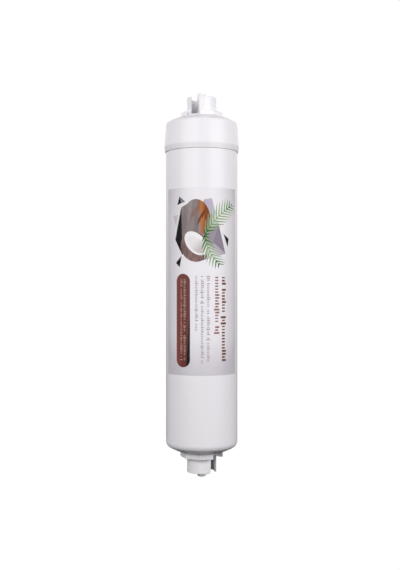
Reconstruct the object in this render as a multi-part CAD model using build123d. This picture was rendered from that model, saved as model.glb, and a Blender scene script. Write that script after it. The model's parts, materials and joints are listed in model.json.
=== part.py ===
from build123d import *
import os
from math import pi

# Inline carbon water filter: a welded 2 inch shell with a threaded port fitting at each end.
# Millimetres. The origin is the middle of the filter on its long axis. +Z runs to the inlet end,
# where the welded cap is, -Y is the side that the label faces, and +X is to the label's right.
# Pieces of the two ends are drawn once, as they stand at the inlet, and turned over for the outlet.

os.makedirs("parts", exist_ok=True)

through = 1.0                 # how far a cut runs past the face that it leaves by

# Heights along Z, measured from the middle of the filter to either end
tip_height = 136.1            # ends of the tube stems
rim_height = 132.7            # rims of the slotted shrouds
collar_outer_height = 122.1   # outer faces of the octagonal collars
cavity_floor_height = 120.2   # floor inside the shroud
collar_inner_height = 118.65  # faces of the collars towards the shell
crown_height = 118.5          # flat tops of the shell's two ends

# Shell
body_radius = 25.4            # 2 inch tube
wall = 2.6
bore_radius = body_radius - wall
crown_flat_radius = 13.8
crown_wall = 2.9
weld_height = 93.75           # butt face between the cap's skirt and the end of the tube
skirt_foot_radius = 26.0
skirt_widest_radius = 26.55
skirt_widest_height = 97.5
skirt_top_radius = 25.3
skirt_top_height = 114.3
cap_crown_bulge = (20.0, 117.0)
cap_rounding = 2.2
tongue_radius = 24.4
tongue_height = 102.4
socket_clearance = 0.1
skirt_chamfer = 0.3
tube_corner_height = 113.4
tube_crown_bulge = (19.6, -116.4)
tube_rounding = 5.0
chamber_bevel = 2.2

# Threaded ports
thread_radius = 6.78
thread_clearance = 0.07
thread_pitch = 25.4 / 18
thread_depth = 0.75
spigot_end_height = 106.5
port_ledge_height = 105.9
boss_end_height = 104.6
boss_radius = 10.8
throat_radius = 4.2
seal_seat_radius = 8.6
seal_seat_depth = 1.9
seal_seat_floor = crown_height - seal_seat_depth

# Port fittings
collar_corner_radius = 15.24
collar_turn = 16.85           # from the slot's centre to the nearest corner, in degrees
collar_chamfer = 0.3
shroud_radius = 10.4
shroud_inner_radius = 8.9
slot_width = 6.9
notch_width = 11.7
relief_radius = 6.3
relief_height = 2.3
rim_rounding = 0.4
inlet_slot_angle = -27.5      # about Z, from the side that the label faces
outlet_slot_angle = 57.5

# Stems: 1/4 inch tube on a thicker root, held in the fitting by a flange behind an O-ring
stem_radius = 3.175
stem_bore_radius = 1.95
stem_tip_rounding = 0.9
stem_root_radius = 3.6
stem_clearance = 0.025
stem_flange_radius = 4.75
stem_flange_height = 1.7
stem_seat_radius = 5.0
stem_foot_height = 106.9
stem_seal_section = 1.2
fitting_seal_section = 1.8
fitting_seal_radius = 6.45
seal_gap = 0.05

# Contents of the shell, from the inlet port to the outlet port
content_radius = bore_radius - 0.2
plate_radius = bore_radius - 0.3
plate_face_height = 99.0
plate_thickness = 2.0
plate_rim_height = 5.0
plate_rim_width = 1.8
rib_count = 6
rib_width = 1.4
rib_inner_radius = 4.8
plate_hole_radius = 1.2
plate_hole_pitch = 5.2
plate_ring_spacing = 4.6
screen_thickness = 0.5
screen_hole = 2.0
screen_bar = 0.8
screen_border = 1.6
pad_thickness = 4.0
foam_thickness = 8.0
polishing_pad_thickness = 2.4
layer_gap = 0.15

# Label
label_thickness = 0.08
label_half_angle = 66.4       # degrees each side of -Y
label_top = 66.6
label_bottom = -62.1


def turned(outline):
    """The solid made by turning a closed outline of (radius, height) edges about Z."""
    return revolve(Plane.XZ * make_face(outline), Axis.Z)


def turned_polygon(*corners):
    return turned(Polyline(*corners, close=True))


def ring(inner_radius, outer_radius, low, high):
    return turned_polygon(
        (inner_radius, low), (outer_radius, low), (outer_radius, high), (inner_radius, high)
    )


def disc(radius, low, high):
    return ring(0, radius, low, high)


def o_ring(inner_radius, section, low):
    """An O-ring lying flat, with its lowest point at the height low."""
    return Pos(0, 0, low + section / 2) * Torus(inner_radius + section / 2, section / 2)


def at_inlet(piece):
    return Rot(0, 0, inlet_slot_angle) * piece


def at_outlet(piece):
    return Rot(0, 0, outlet_slot_angle) * Rot(0, 180, 0) * piece


def turned_over(piece):
    return Rot(0, 180, 0) * piece


def save(name, piece):
    export_step(piece, f"parts/{name}.step")


# ---- shell ---------------------------------------------------------------------------------

def port_hollow():
    """The threaded port seen from outside: seal seat, thread bore and throat."""
    hollow = disc(seal_seat_radius, seal_seat_floor, crown_height + through)
    hollow += disc(thread_radius + thread_clearance, port_ledge_height, seal_seat_floor)
    hollow += disc(throat_radius, boss_end_height - through, port_ledge_height)
    return hollow


def port_boss():
    return disc(boss_radius, boss_end_height, crown_height - crown_wall / 2)


def turned_shell(crown_bulge, corner, rounding, *skirt):
    """A solid shell end: flat crown, bulged shoulder up to the corner, then the skirt's outline."""
    side = 1 if corner[1] > 0 else -1
    flat_edge = (crown_flat_radius, side * crown_height)
    outline = [
        Line((0, side * crown_height), flat_edge),
        ThreePointArc(flat_edge, crown_bulge, corner),
        Polyline(corner, *skirt, (0, side * crown_height)),
    ]
    solid = turned(outline)
    return fillet(solid.edges().filter_by_position(Axis.Z, corner[1], corner[1]), rounding)


def end_cap():
    """Inlet cap: a shallow crown and a skirt that widens down to its butt weld."""
    outside = turned_shell(
        cap_crown_bulge,
        (skirt_top_radius, skirt_top_height),
        cap_rounding,
        (skirt_widest_radius, skirt_widest_height),
        (skirt_foot_radius, weld_height + skirt_chamfer),
        (skirt_foot_radius - skirt_chamfer, weld_height),
        (0, weld_height),
    )
    socket_radius = tongue_radius + socket_clearance
    socket_top = tongue_height + socket_clearance
    chamber = turned_polygon(
        (0, weld_height - through),
        (socket_radius, weld_height - through),
        (socket_radius, socket_top),
        (bore_radius, socket_top),
        (bore_radius, skirt_top_height - wall - chamber_bevel),
        (bore_radius - chamber_bevel, skirt_top_height - wall),
        (boss_radius, crown_height - crown_wall),
        (0, crown_height - crown_wall),
    )
    return outside - chamber + port_boss() - port_hollow()


def housing_tube():
    """Body tube with its outlet end moulded in, and a tongue for the cap's weld."""
    outside = turned_shell(
        tube_crown_bulge,
        (body_radius, -tube_corner_height),
        tube_rounding,
        (body_radius, weld_height),
        (tongue_radius, weld_height),
        (tongue_radius, tongue_height),
        (0, tongue_height),
    )
    chamber = turned_polygon(
        (0, tongue_height + through),
        (bore_radius, tongue_height + through),
        (bore_radius, -tube_corner_height + wall + chamber_bevel),
        (bore_radius - chamber_bevel, -tube_corner_height + wall),
        (boss_radius, crown_wall - crown_height),
        (0, crown_wall - crown_height),
    )
    return outside - chamber + turned_over(port_boss()) - turned_over(port_hollow())


def label():
    """Printed film wrapped round the front of the tube."""
    film = Rectangle(label_thickness, label_top - label_bottom, align=Align.MIN)
    section = Plane.XZ * Pos(body_radius, label_bottom) * film
    arc = 2 * label_half_angle
    return Rot(0, 0, -90 - label_half_angle) * revolve(section, Axis.Z, revolution_arc=arc)


# ---- port fittings -------------------------------------------------------------------------

def spigot():
    """Male thread, drawn as separate grooves so that it clears its bore while it unscrews."""
    shank = disc(thread_radius, spigot_end_height, collar_inner_height)
    shank = chamfer(shank.edges().group_by(Axis.Z)[0], thread_depth / 2)
    thread_top = collar_inner_height - relief_height
    grooves = []
    groove_height = spigot_end_height + thread_pitch
    while groove_height < thread_top - thread_pitch / 2:
        grooves.append(
            turned_polygon(
                (thread_radius - thread_depth, groove_height),
                (thread_radius + thread_depth, groove_height - thread_pitch),
                (thread_radius + thread_depth, groove_height + thread_pitch),
            )
        )
        groove_height += thread_pitch
    relief = ring(relief_radius, thread_radius + through, thread_top, collar_inner_height)
    return shank - grooves - relief


def collar():
    """Octagonal wrench flange, notched beside the shroud's slot."""
    blank = extrude(
        RegularPolygon(collar_corner_radius, 8, rotation=collar_turn),
        collar_outer_height - collar_inner_height,
    )
    blank = chamfer(blank.edges().filter_by(GeomType.LINE).filter_by(Plane.XY), collar_chamfer)
    notch = Box(notch_width, collar_corner_radius, collar_outer_height)
    notch = Pos(0, -collar_corner_radius / 2, 0) * notch
    notch -= Cylinder(shroud_radius, collar_outer_height + through)
    return Pos(0, 0, collar_inner_height) * (blank - notch)


def cup_hollow():
    """Room round the stem, open at the rim and down one side."""
    cavity = disc(shroud_inner_radius, cavity_floor_height, rim_height + through)
    slot_size = (slot_width, shroud_radius + through, rim_height - cavity_floor_height + through)
    slot = Box(*slot_size, align=(Align.CENTER, Align.MAX, Align.MIN))
    return cavity + Pos(0, 0, cavity_floor_height) * slot


def shroud():
    """Cup wall round the stem, rounded at its rim."""
    cup = disc(shroud_radius, collar_inner_height, rim_height)
    cup -= disc(shroud_inner_radius, cavity_floor_height, rim_height)
    return fillet(cup.edges().group_by(Axis.Z)[-1], rim_rounding)


def fitting():
    stem_seat_top = stem_foot_height + stem_flange_height + stem_seal_section + 2 * seal_gap
    body = spigot() + collar() + shroud() - cup_hollow()
    body -= disc(stem_root_radius + stem_clearance, spigot_end_height, rim_height)
    body -= disc(stem_seat_radius, spigot_end_height - through, stem_seat_top)
    return body


def fitting_seal():
    """O-ring under the collar, in the port's seal seat."""
    return o_ring(fitting_seal_radius, fitting_seal_section, seal_seat_floor + seal_gap)


def stem():
    """Quarter-inch tube stem with a captive flange on its inner end."""
    tube = disc(stem_radius, stem_foot_height, tip_height)
    tube = fillet(tube.edges().group_by(Axis.Z)[-1], stem_tip_rounding)
    tube += disc(stem_root_radius, stem_foot_height, cavity_floor_height)
    tube += disc(stem_flange_radius, stem_foot_height, stem_foot_height + stem_flange_height)
    return tube - disc(stem_bore_radius, stem_foot_height - through, tip_height + through)


def stem_seal():
    seat = stem_foot_height + stem_flange_height + seal_gap
    return o_ring(stem_root_radius + seal_gap, stem_seal_section, seat)


# ---- contents ------------------------------------------------------------------------------

def perforated_plate():
    """Flow plate held under the port boss by radial ribs."""
    top = plate_face_height + plate_thickness
    rib_top = boss_end_height - layer_gap
    plate = disc(plate_radius, plate_face_height, top)
    plate += ring(plate_radius - plate_rim_width, plate_radius, top, top + plate_rim_height)
    rib_length = plate_radius - plate_rim_width / 2 - rib_inner_radius
    rib = Box(rib_length, rib_width, rib_top - top, align=(Align.MIN, Align.CENTER, Align.MIN))
    for k in range(rib_count):
        plate += Rot(0, 0, 360 * k / rib_count) * Pos(rib_inner_radius, 0, top) * rib
    holes = []
    ring_radius = plate_ring_spacing
    while ring_radius < plate_radius - plate_rim_width - plate_hole_radius:
        count = rib_count * round(2 * pi * ring_radius / plate_hole_pitch / rib_count)
        for k in range(count):
            spot = Rot(0, 0, 360 * (k + 0.5) / count) * Pos(ring_radius, 0, plate_face_height)
            holes.append(spot * Cylinder(plate_hole_radius, 3 * plate_thickness))
        ring_radius += plate_ring_spacing
    return plate - holes


def screen(low):
    """Moulded mesh disc: square openings between thin bars."""
    step = screen_hole + screen_bar
    reach = int(content_radius / step) + 1
    openings = [
        Pos(step * i, step * j, low) * Box(screen_hole, screen_hole, 4 * screen_thickness)
        for i in range(-reach, reach + 1)
        for j in range(-reach, reach + 1)
        if (step * i) ** 2 + (step * j) ** 2 < (content_radius - screen_border - step / 2) ** 2
    ]
    return disc(content_radius, low, low + screen_thickness) - openings


def layer(low, thickness):
    """One soft layer of the contents."""
    return disc(content_radius, low, low + thickness)


# ---- the whole filter ----------------------------------------------------------------------

screen_low = plate_face_height - layer_gap - screen_thickness
pad_low = screen_low - layer_gap - pad_thickness
foam_low = pad_low - layer_gap - foam_thickness
polishing_low = screen_low - layer_gap - polishing_pad_thickness
outlet_pad_low = polishing_low - layer_gap - pad_thickness
bed_bottom = layer_gap - outlet_pad_low
bed_top = foam_low - layer_gap

save("housing_tube", housing_tube())
save("end_cap", end_cap())
save("label", label())

for end, placed in (("inlet", at_inlet), ("outlet", at_outlet)):
    save(f"{end}_fitting", placed(fitting()))
    save(f"{end}_fitting_seal", placed(fitting_seal()))
    save(f"{end}_stem", placed(stem()))
    save(f"{end}_stem_seal", placed(stem_seal()))

save("inlet_diffuser", perforated_plate())
save("inlet_screen", screen(screen_low))
save("inlet_felt_pad", layer(pad_low, pad_thickness))
save("expansion_foam", layer(foam_low, foam_thickness))
save("carbon_bed", layer(bed_bottom, bed_top - bed_bottom))
save("outlet_felt_pad", turned_over(layer(outlet_pad_low, pad_thickness)))
save("polishing_pad", turned_over(layer(polishing_low, polishing_pad_thickness)))
save("outlet_screen", turned_over(screen(screen_low)))
save("outlet_collector", turned_over(perforated_plate()))
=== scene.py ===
import json
from math import asin, atan2, cos, degrees, pi, radians, sin

import bpy
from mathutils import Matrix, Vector


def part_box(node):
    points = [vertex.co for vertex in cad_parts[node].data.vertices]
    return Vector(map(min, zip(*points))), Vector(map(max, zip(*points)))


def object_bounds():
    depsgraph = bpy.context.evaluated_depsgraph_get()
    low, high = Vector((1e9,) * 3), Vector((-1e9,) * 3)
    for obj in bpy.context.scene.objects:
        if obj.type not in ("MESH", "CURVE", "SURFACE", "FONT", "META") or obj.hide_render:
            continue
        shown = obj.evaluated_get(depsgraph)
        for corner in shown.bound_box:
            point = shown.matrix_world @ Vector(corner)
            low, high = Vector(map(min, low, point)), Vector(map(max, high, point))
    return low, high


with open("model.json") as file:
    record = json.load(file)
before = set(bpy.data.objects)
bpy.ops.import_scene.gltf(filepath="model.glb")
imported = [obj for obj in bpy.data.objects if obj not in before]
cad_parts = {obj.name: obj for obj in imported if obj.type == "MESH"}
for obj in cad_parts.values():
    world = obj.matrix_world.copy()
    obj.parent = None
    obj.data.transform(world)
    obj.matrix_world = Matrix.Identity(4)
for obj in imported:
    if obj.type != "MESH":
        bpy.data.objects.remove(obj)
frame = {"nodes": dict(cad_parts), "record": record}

cad_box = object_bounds()
nodes = frame["nodes"]
scene = bpy.context.scene

MM = 0.001                      # the frame is in metres

# Sizes of the label, read from the frame
LABEL_LOW, LABEL_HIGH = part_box("label")
LABEL_RADIUS = -LABEL_LOW.y     # its front line stands this far from the axis
LABEL_HALF = LABEL_RADIUS * asin(LABEL_HIGH.x / LABEL_RADIUS)   # half its width, along the film

# Camera
DISTANCE = 0.6
FOCAL_LENGTH = 53.2             # in millimetres, on a sensor 36 mm high
EYE_X = -0.0012
EYE_Z = -0.00013

# Stage
FLOOR_DROP = 0.60               # from the filter's lowest point to the floor
STAGE_RADIUS = 2.6
COVE_RADIUS = 0.9
WALL_HEIGHT = 2.4
STAGE_SIDES = 96


# ---- camera, stage and light ---------------------------------------------------------------

def aim(thing, place, target):
    """Put a light or the camera at a place, looking at a target."""
    thing.location = place
    thing.rotation_euler = (Vector(target) - Vector(place)).to_track_quat("-Z", "Y").to_euler()


def camera():
    """In front of the filter, level with its middle and a hair to its left."""
    data = bpy.data.cameras.new("camera")
    data.sensor_width = 36
    data.lens = FOCAL_LENGTH
    thing = bpy.data.objects.new("camera", data)
    scene.collection.objects.link(thing)
    aim(thing, (EYE_X, -DISTANCE, EYE_Z), (EYE_X, 0, EYE_Z))
    scene.camera = thing


def soft_box(name, place, target, size, power, colour=(1, 1, 1)):
    """An area light in watts that the camera doesn't see."""
    data = bpy.data.lights.new(name, "AREA")
    data.shape = "RECTANGLE"
    data.size, data.size_y = size
    data.energy = power
    data.color = colour
    thing = bpy.data.objects.new(name, data)
    thing.visible_camera = False
    scene.collection.objects.link(thing)
    aim(thing, place, target)
    return thing


def new_material(name):
    """A material with an empty node tree but for its output."""
    material = bpy.data.materials.new(name)
    material.use_nodes = True
    material.node_tree.nodes.clear()
    return material


def stage():
    """A pale room all round: floor, curved cove, wall and dome, drawn for the camera only."""
    floor_height = cad_box[0][2] - FLOOR_DROP
    flat = STAGE_RADIUS - COVE_RADIUS
    quarter = [k * pi / 24 for k in range(1, 13)]
    profile = [(flat, 0.0)]
    profile += [(flat + COVE_RADIUS * sin(a), COVE_RADIUS - COVE_RADIUS * cos(a)) for a in quarter]
    profile.append((STAGE_RADIUS, WALL_HEIGHT))
    profile += [
        (STAGE_RADIUS * cos(a), WALL_HEIGHT + STAGE_RADIUS * sin(a)) for a in quarter[:-1]
    ]
    vertices, faces = [], []
    for radius, height in profile:
        for k in range(STAGE_SIDES):
            turn = 2 * pi * k / STAGE_SIDES
            vertices.append((radius * cos(turn), radius * sin(turn), floor_height + height))
    for ring in range(len(profile) - 1):
        for k in range(STAGE_SIDES):
            a = ring * STAGE_SIDES + k
            b = ring * STAGE_SIDES + (k + 1) % STAGE_SIDES
            faces.append((a, b, b + STAGE_SIDES, a + STAGE_SIDES))
    top = (len(profile) - 1) * STAGE_SIDES
    faces.append(tuple(range(STAGE_SIDES)))
    faces.append(tuple(range(top, top + STAGE_SIDES)))
    mesh = bpy.data.meshes.new("stage")
    mesh.from_pydata(vertices, [], faces)
    for face in mesh.polygons:
        face.use_smooth = len(face.vertices) == 4
    room = bpy.data.objects.new("stage", mesh)
    scene.collection.objects.link(room)
    room.visible_diffuse = False
    room.visible_glossy = False
    room.visible_transmission = False
    room.visible_shadow = False
    material = new_material("stage_paper")
    tree = material.node_tree
    output = tree.nodes.new("ShaderNodeOutputMaterial")
    paper = tree.nodes.new("ShaderNodeBsdfPrincipled")
    paper.inputs["Base Color"].default_value = (0.08, 0.08, 0.08, 1)
    paper.inputs["Roughness"].default_value = 1.0
    paper.inputs["Specular IOR Level"].default_value = 0.0
    paper.inputs["Emission Color"].default_value = (1, 1, 1, 1)
    paper.inputs["Emission Strength"].default_value = 0.98
    tree.links.new(paper.outputs[0], output.inputs["Surface"])
    mesh.materials.append(material)


def band(tree, value, low, high, from_value, to_value):
    """A smooth step of a value between two levels, as a node's socket."""
    node = tree.nodes.new("ShaderNodeMapRange")
    node.interpolation_type = "SMOOTHSTEP"
    node.inputs["From Min"].default_value = low
    node.inputs["From Max"].default_value = high
    node.inputs["To Min"].default_value = from_value
    node.inputs["To Max"].default_value = to_value
    tree.links.new(value, node.inputs["Value"])
    return node.outputs[0]


def lighting():
    """A room lit from all round at about head height and dim below, with three soft boxes.

    Two stand in front. The third lights the back, and is kept out of the gloss.
    """
    world = bpy.data.worlds.new("room")
    scene.world = world
    world.use_nodes = True
    tree = world.node_tree
    tree.nodes.clear()
    direction = tree.nodes.new("ShaderNodeTexCoord")
    split = tree.nodes.new("ShaderNodeSeparateXYZ")
    tree.links.new(direction.outputs["Generated"], split.inputs[0])
    upward = split.outputs["Z"]
    strength = tree.nodes.new("ShaderNodeMath")
    strength.operation = "MULTIPLY"
    walls = band(tree, upward, -0.10, 0.26, 0.02, 1.22)
    ceiling = band(tree, upward, 0.30, 0.80, 1.0, 0.12)
    tree.links.new(walls, strength.inputs[0])
    tree.links.new(ceiling, strength.inputs[1])
    sky = tree.nodes.new("ShaderNodeBackground")
    sky.inputs["Color"].default_value = (0.99, 0.975, 1.0, 1)
    tree.links.new(strength.outputs[0], sky.inputs["Strength"])
    output = tree.nodes.new("ShaderNodeOutputWorld")
    tree.links.new(sky.outputs[0], output.inputs["Surface"])
    front = (0, 0, 0.08)
    warm = (1, 0.985, 0.995)
    soft_box("soft_box_left", (-0.46, -0.59, 0.20), front, (0.74, 0.6), 2.95)
    soft_box("soft_box_right", (0.575, -0.48, 0.20), front, (0.66, 0.6), 3.1, warm)
    back = soft_box("soft_box_back", (0, 1.2, 0.35), (0, 0, 0), (0.8, 1.0), 6.5)
    back.visible_glossy = False


camera()
lighting()
stage()
scene.view_settings.view_transform = "Standard"
scene.view_settings.look = "None"


# ---- fields: numbers that vary over a surface, written as sums -----------------------------

class Field:
    """A socket of a node tree that can be added to, multiplied and compared."""

    def __init__(self, tree, socket):
        self.tree = tree
        self.socket = socket

    def math(self, operation, *others, clamp=False):
        node = self.tree.nodes.new("ShaderNodeMath")
        node.operation = operation
        node.use_clamp = clamp
        for slot, value in zip(node.inputs, (self, *others)):
            if isinstance(value, Field):
                self.tree.links.new(value.socket, slot)
            else:
                slot.default_value = value
        return Field(self.tree, node.outputs[0])

    def __add__(self, other):
        return self.math("ADD", other)

    def __sub__(self, other):
        return self.math("SUBTRACT", other)

    def __mul__(self, other):
        return self.math("MULTIPLY", other)

    def __truediv__(self, other):
        return self.math("DIVIDE", other)

    def __neg__(self):
        return self.math("MULTIPLY", -1)

    def __abs__(self):
        return self.math("ABSOLUTE")

    def plus(self, factor, addend):
        """factor times this, plus an addend."""
        return self.math("MULTIPLY_ADD", factor, addend)

    def floor(self):
        return self.math("FLOOR")

    def fraction(self):
        return self.math("FRACT")

    def power(self, exponent):
        return self.math("POWER", exponent)

    def root(self):
        return self.math("SQRT")

    def least(self, other):
        return self.math("MINIMUM", other)

    def most(self, other):
        return self.math("MAXIMUM", other)

    def over(self, threshold):
        """1 where this is above the threshold, else 0."""
        return self.math("GREATER_THAN", threshold)

    def rise(self, low, high):
        """A smooth step from 0 at low to 1 at high."""
        node = self.tree.nodes.new("ShaderNodeMapRange")
        node.interpolation_type = "SMOOTHSTEP"
        node.inputs["From Min"].default_value = low
        node.inputs["From Max"].default_value = high
        self.tree.links.new(self.socket, node.inputs["Value"])
        return Field(self.tree, node.outputs[0])


class Shader:
    """One material: its tree, its Principled shader, and the fields that it is painted with."""

    def __init__(self, name):
        self.material = new_material(name)
        self.tree = self.material.node_tree
        self.surface = self.tree.nodes.new("ShaderNodeBsdfPrincipled")
        output = self.tree.nodes.new("ShaderNodeOutputMaterial")
        self.tree.links.new(self.surface.outputs[0], output.inputs["Surface"])
        self.place = self.tree.nodes.new("ShaderNodeTexCoord").outputs["Object"]

    def set(self, **values):
        """Uniform values, straight on the shader's own sockets."""
        for name, value in values.items():
            label = name.replace("_", " ").title().replace("Ior", "IOR")
            self.surface.inputs[label].default_value = value

    def link(self, name, field):
        self.tree.links.new(getattr(field, "socket", field), self.surface.inputs[name])

    def position(self):
        """Place along X, Y and Z, as three fields in millimetres."""
        split = self.tree.nodes.new("ShaderNodeSeparateXYZ")
        self.tree.links.new(self.place, split.inputs[0])
        return [Field(self.tree, out) * (1 / MM) for out in split.outputs]

    def noise(self, scale, detail=2.0, stretch=(1, 1, 1), roughness=0.5):
        """Noise from 0 to 1, with scale in features per metre."""
        mapping = self.tree.nodes.new("ShaderNodeMapping")
        mapping.inputs["Scale"].default_value = stretch
        self.tree.links.new(self.place, mapping.inputs["Vector"])
        node = self.tree.nodes.new("ShaderNodeTexNoise")
        node.inputs["Scale"].default_value = scale
        node.inputs["Detail"].default_value = detail
        node.inputs["Roughness"].default_value = roughness
        self.tree.links.new(mapping.outputs[0], node.inputs["Vector"])
        return Field(self.tree, node.outputs["Fac"])

    def cells(self, scale, feature="F1", stretch=(1, 1, 1)):
        """Distance to the nearest of scattered points, with scale in points per metre."""
        mapping = self.tree.nodes.new("ShaderNodeMapping")
        mapping.inputs["Scale"].default_value = stretch
        self.tree.links.new(self.place, mapping.inputs["Vector"])
        node = self.tree.nodes.new("ShaderNodeTexVoronoi")
        node.feature = feature
        node.inputs["Scale"].default_value = scale
        self.tree.links.new(mapping.outputs[0], node.inputs["Vector"])
        return Field(self.tree, node.outputs["Distance"])

    def random(self, field, seed):
        """A random number from 0 to 1 for each whole value of a field."""
        node = self.tree.nodes.new("ShaderNodeTexWhiteNoise")
        node.noise_dimensions = "1D"
        self.tree.links.new((field + seed).socket, node.inputs["W"])
        return Field(self.tree, node.outputs["Value"])

    def mix(self, mask, under, over):
        """The colour under, with the colour over laid on it where the mask is 1."""
        node = self.tree.nodes.new("ShaderNodeMix")
        node.data_type = "RGBA"
        ends = [s for s in node.inputs if s.type == "RGBA"]
        for slot, value in zip(ends, (under, over)):
            if isinstance(value, tuple):
                slot.default_value = (*value, 1)
            else:
                self.tree.links.new(value, slot)
        self.tree.links.new(mask.socket, node.inputs["Factor"])
        return [s for s in node.outputs if s.type == "RGBA"][0]

    def bump(self, height, strength, distance):
        """Relief from a height field, with its full height in metres."""
        node = self.tree.nodes.new("ShaderNodeBump")
        node.inputs["Strength"].default_value = strength
        node.inputs["Distance"].default_value = distance
        self.tree.links.new(height.socket, node.inputs["Height"])
        self.link("Normal", node.outputs[0])


# ---- plain materials -----------------------------------------------------------------------

def moulded_plastic(name, colour, shade, roughness, peel=0.00002):
    """Glossy moulded polypropylene: faint mottling, faint flow marks and a fine orange peel."""
    shader = Shader(name)
    mottle = shader.noise(35, 3, (1, 1, 0.35)).rise(0.3, 0.75)
    shader.link("Base Color", shader.mix(mottle, colour, shade))
    shader.link("Roughness", shader.noise(160, 2).plus(0.03, roughness))
    shader.bump(shader.noise(420, 3, (1, 1, 0.6)), 0.04, peel)
    shader.set(ior=1.49, coat_weight=0.0, specular_ior_level=0.5)
    return shader.material


def rubber():
    """Black nitrile rubber, dull, with a little bloom."""
    shader = Shader("seal_rubber")
    bloom = shader.noise(700, 4).rise(0.45, 0.8)
    shader.link("Base Color", shader.mix(bloom, (0.012, 0.012, 0.013), (0.035, 0.034, 0.036)))
    shader.link("Roughness", shader.noise(900, 2).plus(0.2, 0.45))
    shader.bump(shader.noise(2500, 3), 0.3, 0.00002)
    return shader.material


def mesh_nylon():
    shader = Shader("screen_nylon")
    tone = shader.noise(300, 2).rise(0.3, 0.7)
    shader.link("Base Color", shader.mix(tone, (0.80, 0.80, 0.76), (0.88, 0.88, 0.85)))
    shader.link("Roughness", shader.noise(500, 2).plus(0.15, 0.42))
    shader.bump(shader.noise(1500, 2), 0.3, 0.00002)
    return shader.material


def felt():
    """Needled white felt: short crossing fibres."""
    shader = Shader("felt")
    fibres = shader.noise(900, 5, (1, 0.25, 1), 0.7) + shader.noise(900, 5, (0.25, 1, 1), 0.7)
    tone = fibres.rise(0.7, 1.3)
    shader.link("Base Color", shader.mix(tone, (0.62, 0.61, 0.57), (0.90, 0.90, 0.87)))
    shader.set(roughness=0.95, sheen_weight=0.35, sheen_roughness=0.4)
    shader.bump(fibres, 0.8, 0.0003)
    return shader.material


def foam():
    """Open-cell foam: pale struts, with painted shade darkening the pores between them."""
    shader = Shader("foam")
    pores = shader.cells(900)
    # painted shade: the colour darkens towards the middle of each pore
    tone = pores.rise(0.15, 0.55)
    shader.link("Base Color", shader.mix(tone, (0.30, 0.30, 0.29), (0.72, 0.72, 0.69)))
    shader.set(roughness=0.9)
    shader.bump(pores, 0.9, 0.0005)
    return shader.material


def carbon():
    """Packed granules of activated carbon, each with its own gloss."""
    shader = Shader("carbon_granules")
    grains = shader.cells(620)
    tone = shader.noise(1200, 3).rise(0.3, 0.7)
    shader.link("Base Color", shader.mix(tone, (0.008, 0.008, 0.009), (0.045, 0.045, 0.048)))
    shader.link("Roughness", shader.noise(800, 1).plus(0.5, 0.30))
    shader.bump(-grains, 1.0, 0.0009)
    return shader.material


# ---- the label -----------------------------------------------------------------------------

class Print:
    """Shapes printed on the film, in millimetres across it (s) and up the axis (z)."""

    EDGE = 0.10                 # width of a printed shape's soft edge

    def __init__(self, shader):
        self.shader = shader
        x, y, self.z = shader.position()
        self.s = x.math("ARCTAN2", -y) * (LABEL_RADIUS / MM)

    def inked(self, distance):
        """1 inside a shape and 0 outside it, from the distance to its edge."""
        return (distance * (-1 / self.EDGE) + 0.5).math("MULTIPLY", 1, clamp=True)

    def polygon(self, *corners):
        """A convex polygon, its corners in order."""
        sides = list(zip(corners, corners[1:] + corners[:1]))
        side = 1 if sum(a[0] * b[1] - b[0] * a[1] for a, b in sides) > 0 else -1
        distance = None
        for a, b in sides:
            along = Vector((b[0] - a[0], b[1] - a[1])).normalized() * side
            across = self.z.plus(-along.x, along.x * a[1] - along.y * a[0])
            edge = self.s.plus(along.y, across)
            distance = edge if distance is None else distance.most(edge)
        return self.inked(distance)

    def turned(self, centre, tilt):
        """Coordinates about a centre, the first axis tilted up from s by an angle in degrees."""
        s, z = self.s - centre[0], self.z - centre[1]
        c, n = cos(radians(tilt)), sin(radians(tilt))
        return s.plus(c, z * n), z.plus(c, s * -n)

    def ellipse(self, centre, radii, tilt=0):
        u, v = self.turned(centre, tilt)
        ratio = ((u / radii[0]).power(2) + (v / radii[1]).power(2)).root()
        return self.inked((ratio - 1) * min(radii))

    def bar(self, s_low, s_high, z_low, z_high, rounding):
        """A rectangle with rounded corners."""
        across = abs(self.s - (s_low + s_high) / 2) - ((s_high - s_low) / 2 - rounding)
        upward = abs(self.z - (z_low + z_high) / 2) - ((z_high - z_low) / 2 - rounding)
        corner = (across.most(0).power(2) + upward.most(0).power(2)).root()
        return self.inked(corner + across.most(upward).least(0) - rounding)

    def row(self, s_low, s_high, top, bottom, pitch, seed, fill):
        """A line of small plain blocks in groups, running down the film."""
        count = (-self.z + top) / pitch
        cell = count.floor()
        size = self.shader.random(cell, seed + 0.5)
        width = s_high - s_low
        middle = self.s - (s_low + s_high) / 2
        rounding = pitch * 0.15
        length = size * (fill * 0.5) + fill * 0.7
        along = (abs(count.fraction() - 0.5) - length) * pitch + rounding
        right = middle - (size.over(0.7) * (width * 0.20) + width * 0.28)
        left = -middle - (size.over(0.93) * (width * 0.20) + width * 0.28)
        across = right.most(left) + rounding
        corner = (across.most(0).power(2) + along.most(0).power(2)).root()
        block = corner + across.most(along).least(0) - rounding
        ends = abs(self.z - (top + bottom) / 2) - (top - bottom) / 2
        group = (-self.shader.random(cell, seed)).over(-0.87)
        return self.inked(block.most(ends)) * group

    def frond(self, base, tip, bow, reach, pitch, fill, slant):
        """A palm leaf from base to tip: a bowed rib with tapering leaflets on both sides.

        Returns the mask, and how far along the rib each point's leaflet starts, from 0 to 1.
        """
        run = Vector((tip[0] - base[0], tip[1] - base[1]))
        along, across = self.turned(base, degrees(atan2(run.y, run.x)))
        t = along / run.length
        away = abs(across - t * (-t + 1) * (4 * bow))
        foot = along - away * slant
        share = foot / run.length
        length = (share * (-share + 1.06)).most(0).root() * (2 * reach)
        taper = -(away / length.most(0.01)).power(2) + 1
        leaflet = abs((foot / pitch).fraction() - 0.5) - taper * fill
        body = (leaflet * pitch).most(away - length).most(share * -run.length)
        rib = (away - 0.2).most(-along).most(along - run.length)
        return self.inked(body.least(rib)), share


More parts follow.
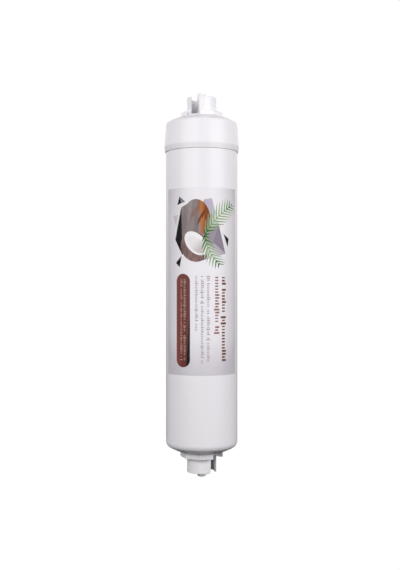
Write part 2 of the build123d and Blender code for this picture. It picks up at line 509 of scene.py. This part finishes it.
def label_film():
    """Pale lilac film with a coconut, a palm leaf and facets over rows of plain blocks."""
    shader = Shader("label_film")
    ink = Print(shader)
    s, z = ink.s, ink.z
    half = LABEL_HALF / MM

    # Film, with painted shade making it darker towards its sides, its lower end and its top, most
    # at the top corners
    sides = (abs(s) / half).power(2.6) * 0.85
    foot = (-z).rise(30, 64) * 0.8
    painted_head_shade = z.rise(44, 67) * 0.35 * (s / half).power(2).plus(1.0, 0.15)
    shade = (sides + foot + painted_head_shade).least(1)
    paint = shader.mix(shade, (0.87, 0.85, 0.88), (0.60, 0.575, 0.615))

    streaks = shader.noise(260, 4, (1, 1, 0.12), 0.6)
    fibres = shader.noise(520, 4, (1, 1, 0.2), 0.65)
    black = (0.006, 0.005, 0.008)

    # Facets behind the fruit
    slab = ink.polygon((1.4, 58.2), (7.0, 59.2), (17.6, 21.4), (-4.2, 15.4))
    paint = shader.mix(slab, paint, (0.30, 0.265, 0.315))
    facet = ink.polygon((1.4, 58.2), (7.0, 59.2), (9.4, 50.6), (5.0, 46.0))
    paint = shader.mix(facet, paint, (0.50, 0.45, 0.54))
    facet = ink.polygon((12.0, 41.6), (17.6, 21.4), (8.0, 29.0))
    paint = shader.mix(facet, paint, (0.24, 0.20, 0.255))
    facet = ink.polygon((8.0, 29.0), (17.6, 21.4), (10.0, 19.3))
    paint = shader.mix(facet, paint, (0.43, 0.385, 0.46))
    shard = ink.polygon((-14.9, 53.2), (-20.3, 31.2), (-14.0, 20.6), (-8.0, 30.0))
    paint = shader.mix(shard, paint, black)
    for corners, tone in (
        (((-16.4, 60.8), (-11.6, 57.0), (-18.4, 55.0)), (0.22, 0.20, 0.23)),
        (((-16.4, 60.8), (-15.2, 56.0), (-18.4, 55.0)), black),
        (((-22.6, 47.6), (-17.8, 48.2), (-19.7, 40.6)), (0.58, 0.55, 0.61)),
        (((15.9, 35.1), (20.8, 31.7), (19.8, 26.2)), black),
        (((-14.6, 20.0), (-19.7, 15.1), (-16.3, 12.1)), black),
    ):
        paint = shader.mix(ink.polygon(*corners), paint, tone)

    # Whole coconut, grey on its left and warm on its right, with dark streaks
    husk = shader.mix(streaks.rise(0.35, 0.7), (0.20, 0.155, 0.155), (0.32, 0.26, 0.255))
    warm = shader.mix(streaks.rise(0.35, 0.65), (0.23, 0.06, 0.015), (0.46, 0.17, 0.055))
    smear = ink.ellipse((-4.2, 50.4), (1.5, 5.4), -38) * streaks.rise(0.25, 0.60)
    husk = shader.mix(smear, husk, (0.24, 0.10, 0.06))
    husk = shader.mix(s.plus(1.0, z * 0.08).rise(1.7, 2.9), husk, warm)
    for centre, radii, tilt in (
        ((-0.4, 47.0), (0.6, 6.5), -30),
        ((1.8, 50.0), (0.5, 5.0), -20),
        ((-2.6, 42.0), (0.6, 4.6), -26),
    ):
        streak = ink.ellipse(centre, radii, tilt) * streaks.rise(0.30, 0.55)
        husk = shader.mix(streak, husk, (0.15, 0.05, 0.022))
    nut = ink.ellipse((-3.4, 46.2), (9.2, 12.4), 8)
    block = ink.polygon((-14.9, 53.2), (-8.0, 56.6), (-2.0, 58.0), (-2.0, 33.0), (-14.2, 28.0))
    paint = shader.mix(nut.most(block), paint, husk)

    # Half coconut
    bark = shader.mix(fibres.rise(0.35, 0.7), (0.13, 0.068, 0.06), (0.32, 0.195, 0.18))
    bark = shader.mix(s.plus(0.6, -z).rise(-19.5, -13.5), bark, (0.07, 0.035, 0.03))
    shell = ink.ellipse((-5.0, 26.0), (10.9, 9.7), -42)
    paint = shader.mix(shell, paint, bark)
    paint = shader.mix(ink.ellipse((-4.1, 28.4), (9.8, 6.2), -45), paint, (0.88, 0.865, 0.87))
    hollow = shader.mix((s - z).rise(-36, -24), (0.82, 0.80, 0.80), (0.58, 0.53, 0.52))
    paint = shader.mix(ink.ellipse((-3.7, 27.4), (7.2, 4.2), -45), paint, hollow)

    # Palm leaf: pale leaflets, with darker ones laid between them
    spacing = 2.7
    for base, tip, bow, reach in (
        ((1.6, 33.0), (22.4, 54.2), 2.4, 7.6),
        ((1.8, 35.0), (12.0, 14.6), -2.0, 6.2),
    ):
        leaf, share = ink.frond(base, tip, bow, reach, spacing, 0.47, 0.95)
        pale = shader.mix(share.rise(0.1, 0.6), (0.30, 0.42, 0.24), (0.80, 0.84, 0.78))
        paint = shader.mix(leaf, paint, pale)
        leaf, share = ink.frond(base, tip, bow, reach, spacing, 0.25, 1.0)
        green = shader.mix(share.rise(0.05, 0.45), (0.012, 0.075, 0.010), (0.26, 0.38, 0.20))
        green = shader.mix(share.rise(0.75, 0.95), green, (0.02, 0.13, 0.015))
        paint = shader.mix(leaf, paint, green)

    # Rows of blocks
    brown = (0.19, 0.052, 0.036)
    grey = (0.40, 0.35, 0.41)
    paint = shader.mix(ink.row(13.6, 18.2, 6.0, -53.2, 2.1, 3, 0.30), paint, brown)
    paint = shader.mix(ink.row(8.4, 12.7, 6.0, -34.0, 2.0, 21, 0.27), paint, (0.30, 0.13, 0.10))
    for low, bottom, seed in ((3.1, -52.5, 40), (-1.1, -54.0, 61), (-5.1, -31.6, 82)):
        blocks = ink.row(low, low + 2.6, 6.2, bottom, 1.2, seed, 0.27)
        paint = shader.mix(blocks, paint, grey)

    # Panel, with a dark sliver along its lower right edge
    panel = ink.bar(-19.0, -8.2, -56.6, 7.6, 5.3)
    tone = shader.mix(s.rise(-19, -11), (0.23, 0.07, 0.058), (0.135, 0.03, 0.022))
    paint = shader.mix(panel, paint, tone)
    sliver = ink.polygon((-8.0, -14.0), (-10.1, -42.0), (-11.2, -58.0), (-8.0, -58.0))
    paint = shader.mix(panel * sliver, paint, black)
    for low, seed in ((-16.1, 103), (-13.4, 124)):
        blocks = ink.row(low, low + 2.2, 4.2, -52.2, 1.1, seed, 0.26)
        paint = shader.mix(blocks, paint, (0.46, 0.27, 0.24))

    shader.link("Base Color", paint)
    shader.link("Roughness", shader.noise(240, 2).plus(0.05, 0.20))
    shader.set(specular_ior_level=0.2)
    shader.bump(shader.noise(500, 3), 0.1, 0.00001)
    return shader.material


materials = {
    "shell_plastic": moulded_plastic(
        "shell_plastic", (0.87, 0.85, 0.88), (0.862, 0.841, 0.871), 0.27
    ),
    "fitting_plastic": moulded_plastic(
        "fitting_plastic", (0.87, 0.86, 0.88), (0.84, 0.83, 0.85), 0.30
    ),
    "stem_plastic": moulded_plastic(
        "stem_plastic", (0.84, 0.84, 0.86), (0.80, 0.80, 0.82), 0.33
    ),
    "plate_plastic": moulded_plastic(
        "plate_plastic", (0.80, 0.80, 0.78), (0.76, 0.76, 0.74), 0.42
    ),
    "label_film": label_film(),
    "seal_rubber": rubber(),
    "screen_nylon": mesh_nylon(),
    "felt": felt(),
    "foam": foam(),
    "carbon_granules": carbon(),
}
for part in frame["record"]["subparts"]:
    mesh = nodes[part["node"]].data
    mesh.materials.clear()
    mesh.materials.append(materials[part["material_slot"]])
